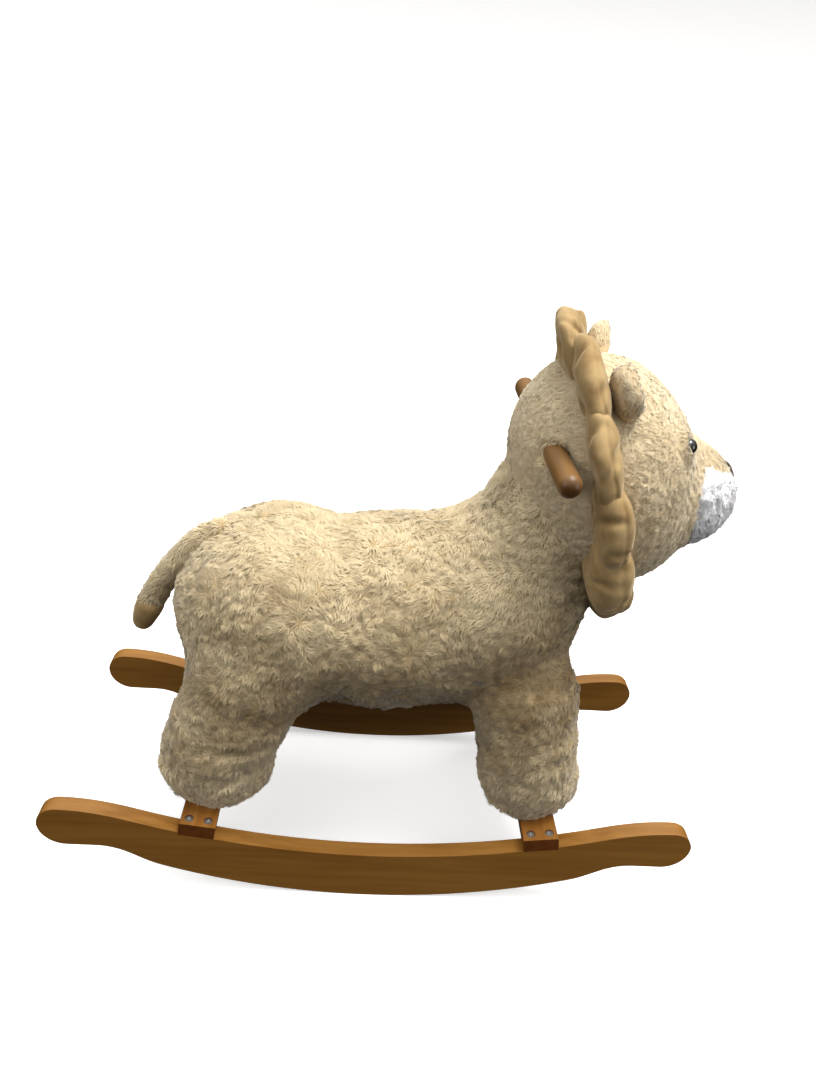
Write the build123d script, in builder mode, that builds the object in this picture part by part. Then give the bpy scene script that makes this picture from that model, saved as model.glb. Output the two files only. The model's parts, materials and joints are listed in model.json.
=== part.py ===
from build123d import *
from math import atan2, cos, degrees, pi, radians, sin, sqrt, tan
import os

# A stuffed animal on two curved wooden rockers, with a handle bar through its head.
# +X is forward, +Z is up, and the origin is on the floor under the middle of the rockers.
# Lengths are in millimetres and angles in degrees.

# Rockers
rocker_half_length = 350
rocker_thickness = 18
track_width = 277  # over the outer faces of the two rockers
rolling_radius = 700
rolling_end_x = 225  # the running edge leaves its arc here
foot_start_x = 292  # and is flat from here, as a stop against tipping
foot_height = 63.5
waist_height = 63
top_radius = 840
top_end_x = 250
lower_corner_radius = 28.5
upper_corner_radius = 22.5

# Crossbars
bar_width = 38
bar_thickness = 17
bar_tilt = 8
bar_top_x = 183.5
bar_top_height = 98.6

# Wood screws at the ends of the crossbars
screw_spacing = 20
# Each screw's size is its head's radius and height, its shank's radius and its length.
rocker_screw_size = (4.2, 3, 2.2, 36)
screw_recess = 1.2
screw_recess_radius = 4.8

# Leg posts, their bolts, washers and insert nuts
post_size = 30
post_y = 62
post_stock_length = 200
bolt_radius = 4
bolt_length = 52
bolt_head_radius = 7
bolt_head_height = 5
washer_radius = 10
washer_thickness = 1.6
insert_radius = 6
insert_length = 20

# Seat board and its foam
board_height = 262
board_length = 350
board_width = 160
board_thickness = 15
board_corner = 30
board_screw_offset = 8
board_screw_size = (4.2, 3, 2.2, 45)
foam_length = 210
foam_width = 130
foam_thickness = 30
foam_centre_x = -55
foam_corner = 35

# Neck post, gusset and angle brackets
neck_x = 141
neck_depth = 38
neck_width = 60
gusset_thickness = 18
gusset_length = 66
gusset_height = 120
bracket_leg = 42
bracket_width = 26
bracket_thickness = 3
bracket_screw_size = (3.6, 2.2, 1.8, 14)

# Handle bar
handle_height = 513
handle_radius = 11
handle_length = 278
handle_screw_size = (4.2, 3, 2.2, 30)

# Stuffed body
torso_height = 294
torso_radius = 107
waist_radius = 104
rump_x = -105
rump_half_length = 118
chest_x = 112
chest_half_length = 108
chest_centre = (116, 0, 312)
chest_ball = (102, 106)
neck_centre = (150, 0, 398)
neck_ball = (104, 85)
neck_lean = 72
neck_seam = (62, 0, 399)
neck_seam_slope = -17

# Legs, each on a line from its foot to its hip: (x, y, height)
leg_foot = {"front": (172, 66, 98), "rear": (-184, 66, 98)}
leg_hip = {"front": (155, 50, 255), "rear": (-134, 48, 255)}
leg_radii = {"front": (27, 51, 53, 46), "rear": (27, 53, 58, 58)}
leg_gap = 0.5  # from each leg to the middle plane
leg_stations = (0.22, 0.6)  # where the middle two radii are, as parts of the leg's length
leg_hang = 8  # the cover hangs this far below the top of the crossbar

# Head, snout and face
head_centre = (204.5, 0, 475.5)
head_ball = (92.5, 112)
head_tilt = 20
snout_centre = (285.5, 0, 460)
snout_ball = (55, 58)
snout_tilt = -11.5
muzzle_seam = (281, 0, 507)
muzzle_seam_slope = -22
eye_forward = 75
eye_rise = 27
eye_radius = 8
eye_sink = 3
eye_stem_radius = 2.2
eye_stem_length = 13
eye_washer_radius = 8
eye_washer_thickness = 1.5
eye_washer_depth = 9
stitch_height = 1.6
nose_width = 34
nose_height = 20
nose_centre_z = 481
mouth_width = 2
mouth_length = 20

# Mane: a ring of stuffed petals around the head
mane_centre = (196, 0, 470)
mane_tilt = 17
petal_count = 12
petal_ring = (105, 134)  # half width and half height of the ring of petal centres
petal_spread = 0.058  # how far, in radians, the petals shift so that they stay evenly spaced
petal_half_width = 30
petal_half_length = 33.5
petal_thickness = 22

# Ears, hinged where they are sewn to the head
ear_forward = 30
ear_angle = 34
ear_hinge_distance = 121.5
ear_half_width = 22
ear_half_height = 24
ear_thickness = 16

# Tail
tail_root = (-177, 0, 382)
tail_middle = (-229, 0, 327)
tail_end = (-262, 0, 262)
tail_radius = 12.5
tail_tip_length = 26
tail_clearance = 0.8

os.makedirs("parts", exist_ok=True)
sides = {"right": -1, "left": 1}
ends = {"front": 1, "rear": -1}
upward = (Align.CENTER, Align.CENTER, Align.MIN)
downward = (Align.CENTER, Align.CENTER, Align.MAX)


def arc_height(radius, x):
    """Height of an arc above its lowest point, at a distance x from it."""
    return radius - sqrt(radius**2 - x**2)


def bar_plane(end):
    """The middle of a crossbar's top face, with the bar's tilt."""
    tilt = radians(bar_tilt)
    way = ends[end]
    return Plane(
        origin=(way * bar_top_x, 0, bar_top_height),
        x_dir=(cos(tilt), 0, way * sin(tilt)),
        z_dir=(-way * sin(tilt), 0, cos(tilt)),
    )


def upright_plane(origin, tilt=0):
    """A plane parallel to XZ whose X direction is tilted up from forward."""
    turn = radians(tilt)
    return Plane(origin=origin, x_dir=(cos(turn), 0, sin(turn)), z_dir=(0, -1, 0))


def ball(centre, size, tilt):
    """A stuffed ball: half an ellipse turned about its tilted long axis."""
    half_length, radius = size
    plane = upright_plane(centre, tilt)
    with BuildPart() as turned:
        with BuildSketch(plane):
            with BuildLine():
                EllipticalCenterArc((0, 0), half_length, radius, start_angle=0, arc_size=180)
                Line((-half_length, 0), (half_length, 0))
            make_face()
        revolve(axis=Axis(plane.origin, plane.x_dir))
    return turned.part


def screws(places, size, slotted=True):
    """Screws, each with the top of its head at its place; unslotted, the space they fill."""
    head_radius, head_height, shank_radius, length = size
    with BuildPart() as group:
        with Locations(*places):
            Cylinder(head_radius, head_height, align=downward)
            Cylinder(shank_radius, length, align=downward)
            if slotted:
                for turn in (0, 90):
                    slot = (head_radius, head_radius / 4, head_height)
                    Box(*slot, rotation=(0, 0, turn), mode=Mode.SUBTRACT)
    return group


def grid_places(planes, *grid):
    """A grid of places on each of several planes."""
    places = []
    for plane in planes:
        with Locations(plane):
            with GridLocations(*grid) as spots:
                places += spots.locations
    return places


# Crossbars, with counterbored holes for the screws at each end
crossbars = {}
for end in ends:
    with BuildPart(bar_plane(end)) as crossbar:
        Box(bar_width, track_width, bar_thickness, align=downward)
        fillet(crossbar.edges().filter_by(Axis.Y).group_by(Axis.Z)[-1], 2)
        with GridLocations(screw_spacing, track_width - rocker_thickness, 2, 2):
            head_height, shank_radius = rocker_screw_size[1:3]
            CounterBoreHole(
                shank_radius, screw_recess_radius, screw_recess + head_height, bar_thickness
            )
        with GridLocations(0, 2 * post_y, 1, 2):
            Hole(bolt_radius, bar_thickness)
    crossbar.part.label = f"crossbar_{end}"
    export_step(crossbar.part, f"parts/crossbar_{end}.step")
    crossbars[end] = crossbar.part

# Screws that hold the crossbars down on the rockers
rocker_screw_places = grid_places(
    [bar_plane(end).offset(-screw_recess) for end in ends],
    screw_spacing,
    track_width - rocker_thickness,
    2,
    2,
)
rocker_screws = screws(rocker_screw_places, rocker_screw_size)
rocker_screws.part.label = "rocker_screws"
export_step(rocker_screws.part, "parts/rocker_screws.step")

# Rockers: a running edge on an arc, flat feet at the ends and a seat for each crossbar
for side, way in sides.items():
    rolling_end = (rolling_end_x, arc_height(rolling_radius, rolling_end_x))
    top_end = (top_end_x, waist_height + arc_height(top_radius, top_end_x))
    rolling_slope = rolling_end_x / rolling_radius
    top_slope = top_end_x / top_radius
    foot_end = (rocker_half_length - lower_corner_radius, foot_height)
    tip = (rocker_half_length, foot_height + lower_corner_radius)
    nose_top = (rocker_half_length - upper_corner_radius, tip[1] + upper_corner_radius)
    inner_face = way * (track_width / 2 - rocker_thickness)
    with BuildPart() as rocker:
        with BuildSketch(Plane.XZ.offset(-inner_face)) as board:
            with BuildLine():
                ThreePointArc((-rolling_end[0], rolling_end[1]), (0, 0), rolling_end)
                rise = Spline(
                    rolling_end,
                    (foot_start_x, foot_height),
                    tangents=((sqrt(1 - rolling_slope**2), rolling_slope), (1, 0)),
                )
                flat = Line((foot_start_x, foot_height), foot_end)
                low = TangentArc(foot_end, tip, tangent=(1, 0))
                high = TangentArc(tip, nose_top, tangent=(0, 1))
                fall = Spline(
                    nose_top,
                    top_end,
                    tangents=((-1, 0), (-sqrt(1 - top_slope**2), -top_slope)),
                )
                mirror(objects=[rise, flat, low, high, fall], about=Plane.YZ)
                ThreePointArc(top_end, (0, waist_height), (-top_end[0], top_end[1]))
            make_face()
        extrude(amount=-way * rocker_thickness)
        for crossbar in crossbars.values():
            add(crossbar, mode=Mode.SUBTRACT)
        add(rocker_screws.part, mode=Mode.SUBTRACT)
    rocker.part.label = f"rocker_{side}"
    export_step(rocker.part, f"parts/rocker_{side}.step")

# Leg bolts, the washers under their heads and the insert nuts in the posts
with BuildPart() as leg_bolts:
    for end in ends:
        with Locations(bar_plane(end).offset(-bar_thickness - washer_thickness)):
            with GridLocations(0, 2 * post_y, 1, 2):
                Cylinder(bolt_radius, bolt_length, align=upward)
                Cylinder(bolt_head_radius, bolt_head_height, align=downward)
leg_bolts.part.label = "leg_bolts"
export_step(leg_bolts.part, "parts/leg_bolts.step")

with BuildPart() as leg_washers:
    for end in ends:
        with Locations(bar_plane(end).offset(-bar_thickness)):
            with GridLocations(0, 2 * post_y, 1, 2):
                Cylinder(washer_radius, washer_thickness, align=downward)
    add(leg_bolts.part, mode=Mode.SUBTRACT)
leg_washers.part.label = "leg_washers"
export_step(leg_washers.part, "parts/leg_washers.step")

with BuildPart() as insert_nuts:
    for end in ends:
        with Locations(bar_plane(end)):
            with GridLocations(0, 2 * post_y, 1, 2):
                Cylinder(insert_radius, insert_length, align=upward)
    add(leg_bolts.part, mode=Mode.SUBTRACT)
insert_nuts.part.label = "insert_nuts"
export_step(insert_nuts.part, "parts/insert_nuts.step")

# Screws down through the seat board into the tops of the leg posts
post_top_x = bar_top_x - (board_height - bar_top_height) * tan(radians(bar_tilt))
board_screw_places = []
for way in sides.values():
    beside_post = Plane((0, way * post_y, board_height + board_thickness))
    board_screw_places += grid_places([beside_post], 2 * post_top_x, 2 * board_screw_offset, 2, 2)
board_screws = screws(board_screw_places, board_screw_size)
board_screw_holes = screws(board_screw_places, board_screw_size, slotted=False)
board_screws.part.label = "board_screws"
export_step(board_screws.part, "parts/board_screws.step")

# Leg posts, square to the crossbars and cut level under the seat board
board_bottom = Plane.XY.offset(board_height)
frame_pieces = []
for end in ends:
    for side, way in sides.items():
        with BuildPart() as leg_post:
            with Locations(bar_plane(end)):
                with Locations((0, way * post_y, 0)):
                    Box(post_size, post_size, post_stock_length, align=upward)
            chamfer(leg_post.edges().filter_by(Axis((0, 0, 0), bar_plane(end).z_dir)), 2)
            split(bisect_by=board_bottom, keep=Keep.BOTTOM)
            for hardware in (leg_bolts, insert_nuts, board_screw_holes):
                add(hardware.part, mode=Mode.SUBTRACT)
        leg_post.part.label = f"leg_post_{end}_{side}"
        export_step(leg_post.part, f"parts/leg_post_{end}_{side}.step")
        frame_pieces.append(leg_post.part)

# Seat board, with a foam pad on it
board_top = Plane.XY.offset(board_height + board_thickness)
with BuildPart() as seat_board:
    with BuildSketch(board_bottom):
        RectangleRounded(board_length, board_width, board_corner)
    extrude(amount=board_thickness)
    chamfer(seat_board.edges().group_by(Axis.Z)[0], 1.5)
    add(board_screw_holes.part, mode=Mode.SUBTRACT)

with BuildPart() as seat_foam:
    with BuildSketch(board_top):
        with Locations((foam_centre_x, 0)):
            RectangleRounded(foam_length, foam_width, foam_corner)
    extrude(amount=foam_thickness)
    fillet(seat_foam.edges().group_by(Axis.Z)[-1], 12)
seat_foam.part.label = "seat_foam"
export_step(seat_foam.part, "parts/seat_foam.step")

# Handle bar: a dowel with round ends
with BuildPart() as handle_bar:
    with BuildSketch(upright_plane((neck_x, 0, handle_height))):
        Circle(handle_radius)
    extrude(amount=handle_length / 2 - handle_radius, both=True)
    for way in sides.values():
        with Locations((neck_x, way * (handle_length / 2 - handle_radius), handle_height)):
            Sphere(handle_radius)

# Screw that locks the dowel, driven in from behind the neck post
back_of_post = Plane((neck_x - neck_depth / 2, 0, handle_height), z_dir=(-1, 0, 0))
handle_screw_places = [back_of_post.offset(handle_screw_size[1]).location]
handle_screw = screws(handle_screw_places, handle_screw_size)
handle_screw_hole = screws(handle_screw_places, handle_screw_size, slotted=False)
handle_screw.part.label = "handle_screw"
export_step(handle_screw.part, "parts/handle_screw.step")

# Neck post with a round top, bored for the dowel
post_base = board_height + board_thickness
with BuildPart() as neck_post:
    with BuildSketch(upright_plane((neck_x, 0, post_base))):
        reach = handle_height - post_base
        with Locations((0, reach / 2)):
            Rectangle(neck_depth, reach)
        with Locations((0, reach)):
            Circle(neck_depth / 2)
            Circle(handle_radius, mode=Mode.SUBTRACT)
    extrude(amount=neck_width / 2, both=True)
    add(handle_screw_hole.part, mode=Mode.SUBTRACT)

# Gusset behind the neck post
with BuildPart() as neck_gusset:
    with BuildSketch(upright_plane((neck_x - neck_depth / 2, 0, post_base))):
        with BuildLine():
            Line((0, 0), (0, gusset_height))
            Line((0, gusset_height), (-14, gusset_height))
            Line((-14, gusset_height), (-gusset_length, 14))
            Line((-gusset_length, 14), (-gusset_length, 0))
            Line((-gusset_length, 0), (0, 0))
        make_face()
    extrude(amount=gusset_thickness / 2, both=True)
neck_gusset.part.label = "neck_gusset"
export_step(neck_gusset.part, "parts/neck_gusset.step")

# Angle brackets on both sides of the neck post, and their screws
bracket_middle = (bracket_leg + bracket_thickness) / 2
bracket_faces = []
for way in sides.values():
    on_board = Plane(
        (neck_x, way * (neck_width / 2 + bracket_middle), post_base), x_dir=(1, 0, 0)
    )
    on_post = Plane(
        (neck_x, way * neck_width / 2, post_base + bracket_middle),
        x_dir=(1, 0, 0),
        z_dir=(0, way, 0),
    )
    bracket_faces += [on_board, on_post]
bracket_screw_places = grid_places(
    [face.offset(bracket_thickness + bracket_screw_size[1]) for face in bracket_faces],
    bracket_width / 2,
    0,
    2,
    1,
)
bracket_screws = screws(bracket_screw_places, bracket_screw_size)
bracket_screw_holes = screws(bracket_screw_places, bracket_screw_size, slotted=False)
bracket_screws.part.label = "bracket_screws"
export_step(bracket_screws.part, "parts/bracket_screws.step")

with BuildPart() as neck_brackets:
    for way in sides.values():
        corner = (neck_x, way * neck_width / 2, post_base)
        inward = Align.MIN if way > 0 else Align.MAX
        with Locations(corner):
            Box(
                bracket_width,
                bracket_thickness,
                bracket_leg,
                align=(Align.CENTER, inward, Align.MIN),
            )
            Box(
                bracket_width,
                bracket_leg,
                bracket_thickness,
                align=(Align.CENTER, inward, Align.MIN),
            )
    add(bracket_screw_holes.part, mode=Mode.SUBTRACT)
neck_brackets.part.label = "neck_brackets"
export_step(neck_brackets.part, "parts/neck_brackets.step")

with neck_post:
    add(bracket_screw_holes.part, mode=Mode.SUBTRACT)
neck_post.part.label = "neck_post"
export_step(neck_post.part, "parts/neck_post.step")

with seat_board:
    add(bracket_screw_holes.part, mode=Mode.SUBTRACT)
seat_board.part.label = "seat_board"
export_step(seat_board.part, "parts/seat_board.step")

with handle_bar:
    add(handle_screw_hole.part, mode=Mode.SUBTRACT)
handle_bar.part.label = "handle_bar"
export_step(handle_bar.part, "parts/handle_bar.step")

frame_pieces += [
    piece.part
    for piece in (
        leg_bolts,
        insert_nuts,
        board_screw_holes,
        seat_board,
        seat_foam,
        neck_post,
        neck_gusset,
        neck_brackets,
        bracket_screw_holes,
        handle_bar,
        handle_screw_hole,
    )
]


# Tail: a bent stuffed tube, in a fluffy part and a tan tip
tail_line = ThreePointArc(tail_root, tail_middle, tail_end)
tip_start = Plane(tail_line ^ (1 - tail_tip_length / tail_line.length))


def tail_tube(radius):
    """The whole tail at a given radius, with round ends."""
    with BuildPart() as tube:
        with BuildLine():
            add(tail_line)
        with BuildSketch(tail_line ^ 0):
            Circle(radius)
        sweep()
        with Locations(tail_root, tail_end):
            Sphere(radius)
    return tube.part


with BuildPart() as tail:
    add(tail_tube(tail_radius))
    split(bisect_by=tip_start, keep=Keep.BOTTOM)
tail.part.label = "tail"
export_step(tail.part, "parts/tail.step")

with BuildPart() as tail_tip:
    add(tail_tube(tail_radius))
    split(bisect_by=tip_start, keep=Keep.TOP)
tail_tip.part.label = "tail_tip"
export_step(tail_tip.part, "parts/tail_tip.step")

# Torso and neck: a barrel with a slight saddle, a chest and a leaning neck
torso_axis = upright_plane((0, 0, torso_height))
with BuildPart() as torso_skin:
    with BuildSketch(torso_axis):
        with BuildLine():
            rump_end = rump_x - rump_half_length
            chest_end = chest_x + chest_half_length
            EllipticalCenterArc(
                (rump_x, 0), rump_half_length, torso_radius, start_angle=90, arc_size=90
            )
            Spline(
                (rump_x, torso_radius),
                ((rump_x + chest_x) / 2, waist_radius),
                (chest_x, torso_radius),
                tangents=((1, 0), (1, 0)),
            )
            EllipticalCenterArc(
                (chest_x, 0), chest_half_length, torso_radius, start_angle=0, arc_size=90
            )
            Line((rump_end, 0), (chest_end, 0))
        make_face()
    revolve(axis=Axis(torso_axis.origin, torso_axis.x_dir))
    add(ball(chest_centre, chest_ball, 0))
    add(ball(neck_centre, neck_ball, neck_lean))
    add(tail_tube(tail_radius + tail_clearance), mode=Mode.SUBTRACT)

neck_turn = radians(neck_seam_slope)
neck_seam_plane = Plane(neck_seam, z_dir=(-sin(neck_turn), 0, cos(neck_turn)))
for name, kept in {"torso": Keep.BOTTOM, "neck": Keep.TOP}.items():
    with BuildPart() as stuffing:
        add(torso_skin.part)
        for piece in frame_pieces:
            add(piece, mode=Mode.SUBTRACT)
        split(bisect_by=neck_seam_plane, keep=kept)
    stuffing.part.label = name
    export_step(stuffing.part, f"parts/{name}.step")

# Legs: covers stuffed around the posts, sewn to the torso at the hip
for end in ends:
    for side, way in sides.items():
        foot = Vector(leg_foot[end][0], way * leg_foot[end][1], leg_foot[end][2])
        hip = Vector(leg_hip[end][0], way * leg_hip[end][1], leg_hip[end][2])
        length = (hip - foot).length
        sole, calf, thigh, seam = leg_radii[end]
        leg_plane = Plane(origin=foot, x_dir=hip - foot, z_dir=(hip - foot).cross(Vector(0, 1, 0)))
        with BuildPart() as leg:
            with BuildSketch(leg_plane):
                with BuildLine():
                    Line((-leg_hang, 0), (-leg_hang, sole))
                    Spline(
                        (-leg_hang, sole),
                        (leg_stations[0] * length, calf),
                        (leg_stations[1] * length, thigh),
                        (length, seam),
                        tangents=((0, 1), (1, 0.06)),
                    )
                    Line((length, seam), (length, 0))
                    Line((length, 0), (-leg_hang, 0))
                make_face()
            revolve(axis=Axis(foot, hip - foot))
            inner_side = Plane((0, way * leg_gap, 0), z_dir=(0, way, 0))
            split(bisect_by=inner_side, keep=Keep.TOP)
            for blocker in [torso_skin.part, *frame_pieces, *crossbars.values()]:
                add(blocker, mode=Mode.SUBTRACT)
            for sliver in leg.solids().sort_by(SortBy.VOLUME)[:-1]:
                add(sliver, mode=Mode.SUBTRACT)
        leg.part.label = f"leg_{end}_{side}"
        export_step(leg.part, f"parts/leg_{end}_{side}.step")

# Eyes: domes on stems, each with a lock washer inside the head
head_plane = upright_plane(head_centre, head_tilt)
eye_ring = head_ball[1] * sqrt(1 - (eye_forward / head_ball[0]) ** 2)
eye_lean = degrees(atan2(eye_forward / head_ball[0] ** 2, eye_ring / head_ball[1] ** 2))
eye_planes = {}
for side, way in sides.items():
    rise = radians(eye_rise)
    lean = radians(eye_lean)
    place = Vector(eye_forward, eye_ring * sin(rise), -way * eye_ring * cos(rise))
    outward = Vector(sin(lean), cos(lean) * sin(rise), -way * cos(lean) * cos(rise))
    origin = head_plane.from_local_coords(place)
    eye_planes[side] = Plane(origin, z_dir=head_plane.from_local_coords(place + outward) - origin)

eye_washer_planes = [plane.offset(-eye_washer_depth) for plane in eye_planes.values()]
eyes = []
for side, plane in eye_planes.items():
    back_of_dome = plane.offset(-eye_sink)
    with BuildPart() as eye:
        with Locations(back_of_dome):
            Sphere(eye_radius)
        split(bisect_by=back_of_dome, keep=Keep.TOP)
        with Locations(back_of_dome):
            Cylinder(eye_stem_radius, eye_stem_length, align=downward)
    eye.part.label = f"eye_{side}"
    export_step(eye.part, f"parts/eye_{side}.step")
    eyes.append(eye.part)

with BuildPart() as eye_washers:
    with Locations(*eye_washer_planes):
        Cylinder(eye_washer_radius, eye_washer_thickness)
    for eye in eyes:
        add(eye, mode=Mode.SUBTRACT)
eye_washers.part.label = "eye_washers"
export_step(eye_washers.part, "parts/eye_washers.step")

# Head
head_skin = ball(head_centre, head_ball, head_tilt)
with BuildPart() as head:
    add(head_skin)
    for blocker in [torso_skin.part, *frame_pieces, *eyes, eye_washers.part]:
        add(blocker, mode=Mode.SUBTRACT)
head.part.label = "head"
export_step(head.part, "parts/head.step")

# Snout: a beige bridge above a white muzzle
seam_turn = radians(muzzle_seam_slope)
seam_plane = Plane(muzzle_seam, z_dir=(-sin(seam_turn), 0, cos(seam_turn)))
snout_solid = ball(snout_centre, snout_ball, snout_tilt)
with BuildPart() as muzzle:
    add(snout_solid)
    add(head_skin, mode=Mode.SUBTRACT)
    split(bisect_by=seam_plane, keep=Keep.BOTTOM)
muzzle.part.label = "muzzle"
export_step(muzzle.part, "parts/muzzle.step")

with BuildPart() as snout_bridge:
    add(snout_solid)
    add(head_skin, mode=Mode.SUBTRACT)
    split(bisect_by=seam_plane, keep=Keep.TOP)
snout_bridge.part.label = "snout_bridge"
export_step(snout_bridge.part, "parts/snout_bridge.step")

# Nose and mouth: thick embroidery on the front of the snout
stitch_ball = (snout_ball[0] + stitch_height, snout_ball[1] + stitch_height)
stitch_solid = ball(snout_centre, stitch_ball, snout_tilt)
front = Plane((snout_centre[0], 0, nose_centre_z), x_dir=(0, 1, 0), z_dir=(1, 0, 0))
with BuildPart() as nose:
    with BuildSketch(front):
        with BuildLine():
            Polyline(
                (-nose_width / 2, nose_height / 2),
                (nose_width / 2, nose_height / 2),
                (0, -nose_height / 2),
                close=True,
            )
        make_face()
    extrude(amount=2 * snout_ball[0])
    add(stitch_solid, mode=Mode.INTERSECT)
    add(snout_solid, mode=Mode.SUBTRACT)
nose.part.label = "nose"
export_step(nose.part, "parts/nose.step")

mouth_foot = -nose_height / 2 - mouth_length
lips = [
    ThreePointArc(
        (0, mouth_foot),
        (way * mouth_length / 2, mouth_foot - 0.3 * mouth_length),
        (way * mouth_length, mouth_foot),
    )
    for way in sides.values()
]
with BuildPart() as mouth_stitches:
    with BuildSketch(front):
        with Locations((0, -(nose_height + mouth_length) / 2)):
            Rectangle(mouth_width, mouth_length)
        for lip in lips:
            SlotArc(lip, mouth_width)
    extrude(amount=2 * snout_ball[0])
    add(stitch_solid, mode=Mode.INTERSECT)
    add(snout_solid, mode=Mode.SUBTRACT)
mouth_stitches.part.label = "mouth_stitches"
export_step(mouth_stitches.part, "parts/mouth_stitches.step")

# Mane: a ring of stuffed petals, sewn round the head behind the ears
mane_turn = radians(mane_tilt)
mane_plane = Plane(mane_centre, x_dir=(0, 1, 0), z_dir=(cos(mane_turn), 0, sin(mane_turn)))
petals = []
for number in range(petal_count):
    even = 2 * pi * number / petal_count
    turn = even + petal_spread * sin(2 * even)
    middle = (petal_ring[0] * sin(turn), petal_ring[1] * cos(turn))
    outward = degrees(atan2(petal_ring[1] * sin(turn), petal_ring[0] * cos(turn)))
    with BuildPart() as petal:
        if number > petal_count / 2:
            mirror(petals[petal_count - number], about=Plane.XZ)
        else:
            with BuildSketch(mane_plane):
                with Locations(Location(middle, -outward)):
                    Ellipse(petal_half_width, petal_half_length)
            extrude(amount=petal_thickness / 2, both=True)
            fillet(petal.edges().filter_by(GeomType.ELLIPSE), petal_thickness * 0.45)
            for blocker in (head_skin, torso_skin.part):
                add(blocker, mode=Mode.SUBTRACT)
    petal.part.label = f"mane_petal_{number + 1:02d}"
    export_step(petal.part, f"parts/mane_petal_{number + 1:02d}.step")
    petals.append(petal.part)

# Ears: half discs with a round base on the hinge line, just clear of the head
for side, way in sides.items():
    turn = radians(ear_angle)
    hinge = (
        way * ear_hinge_distance * sin(turn),
        ear_hinge_distance * cos(turn),
        ear_forward,
    )
    ear_origin = mane_plane.from_local_coords(hinge)
    ear_top = mane_plane.from_local_coords(
        (hinge[0] + way * sin(turn), hinge[1] + cos(turn), ear_forward)
    )
    forward = mane_plane.z_dir
    ear_plane = Plane(ear_origin, x_dir=(ear_top - ear_origin).cross(forward), z_dir=forward)
    with BuildPart() as ear:
        with BuildSketch(ear_plane):
            with Locations((0, ear_half_height / 4)):
                Ellipse(ear_half_width, ear_half_height)
            with Locations((0, -ear_half_height)):
                Rectangle(4 * ear_half_width, 2 * ear_half_height, mode=Mode.SUBTRACT)
        extrude(amount=ear_thickness / 2, both=True)
        with Locations(Plane(ear_origin, z_dir=ear_plane.x_dir)):
            Cylinder(ear_thickness / 2, 2 * ear_half_width * 0.9)
    ear.part.label = f"ear_{side}"
    export_step(ear.part, f"parts/ear_{side}.step")
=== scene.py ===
import json
import math

import bmesh
import bpy
import numpy as np
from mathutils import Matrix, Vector


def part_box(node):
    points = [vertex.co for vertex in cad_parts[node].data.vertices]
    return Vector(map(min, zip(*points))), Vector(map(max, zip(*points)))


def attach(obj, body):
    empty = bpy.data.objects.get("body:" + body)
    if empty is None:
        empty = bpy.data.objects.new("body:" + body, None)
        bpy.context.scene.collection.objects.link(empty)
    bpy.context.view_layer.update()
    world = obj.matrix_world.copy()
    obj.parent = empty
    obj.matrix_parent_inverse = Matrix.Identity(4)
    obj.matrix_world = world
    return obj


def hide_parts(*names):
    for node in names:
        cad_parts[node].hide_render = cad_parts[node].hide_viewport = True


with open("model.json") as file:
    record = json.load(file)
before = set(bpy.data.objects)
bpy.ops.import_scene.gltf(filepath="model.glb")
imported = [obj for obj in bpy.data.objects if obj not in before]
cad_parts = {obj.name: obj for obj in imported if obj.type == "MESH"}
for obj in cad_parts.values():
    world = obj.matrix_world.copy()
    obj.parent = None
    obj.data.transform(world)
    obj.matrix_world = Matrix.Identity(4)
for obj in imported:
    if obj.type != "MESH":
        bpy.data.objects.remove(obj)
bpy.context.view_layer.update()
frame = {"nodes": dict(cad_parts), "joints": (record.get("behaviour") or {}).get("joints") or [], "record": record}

joints = {joint["name"]: joint for joint in frame["joints"]}


def boxOf(node):
    low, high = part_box(node)
    return np.array(low), np.array(high)


def scramble(cells, seed):
    # one steady number from 0 to 1 for each cell of a 3D grid
    key = (cells[:, 0] * 73856093) ^ (cells[:, 1] * 19349663) ^ (cells[:, 2] * 83492791)
    key = (key ^ (seed * 2654435761)) & 0xFFFFFFFF
    key = ((key ^ (key >> 15)) * 2246822519) & 0xFFFFFFFF
    key = ((key ^ (key >> 13)) * 3266489917) & 0xFFFFFFFF
    return ((key ^ (key >> 16)) & 0xFFFFFF) / float(0xFFFFFF)


def softNoise(points, size, seed):
    # smooth noise from -1 to 1, with lumps about that size
    place = points / size + 0.37 * seed
    cell = np.floor(place).astype(np.int64)
    part = place - cell
    part = part * part * (3 - 2 * part)
    total = np.zeros(len(points))
    for corner in np.ndindex(2, 2, 2):
        near = np.abs(1 - np.array(corner) - part)
        total += near[:, 0] * near[:, 1] * near[:, 2] * scramble(cell + np.array(corner), seed)
    return total * 2 - 1


def noiseVectors(points, size, seed):
    return np.stack([softNoise(points, size, seed + n) for n in range(3)], 1)


def unit(vectors):
    return vectors / np.maximum(np.linalg.norm(vectors, axis=1, keepdims=True), 1e-9)


def tiltMatrix(degrees):
    # turns +X up towards +Z
    turn = math.radians(degrees)
    along, up = math.cos(turn), math.sin(turn)
    return np.array([[along, 0, up], [0, 1, 0], [-up, 0, along]])


def lumpDistance(points, lump):
    # about how far each point is outside the lump
    if "to" in lump:
        start, end = np.array(lump["at"]), np.array(lump["to"])
        axis = end - start
        along = np.clip(((points - start) @ axis) / (axis @ axis), 0, 1)
        radius = lump["radii"][0] + along * (lump["radii"][1] - lump["radii"][0])
        return np.linalg.norm(points - start - along[:, None] * axis, axis=1) - radius
    local = (points - np.array(lump["at"])) @ tiltMatrix(lump.get("tilt", 0)).T
    radii = np.array(lump["radii"])
    near = np.linalg.norm(local / radii, axis=1)
    slope = np.maximum(np.linalg.norm(local / radii**2, axis=1), 1e-9)
    return near * (near - 1) / slope


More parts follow.
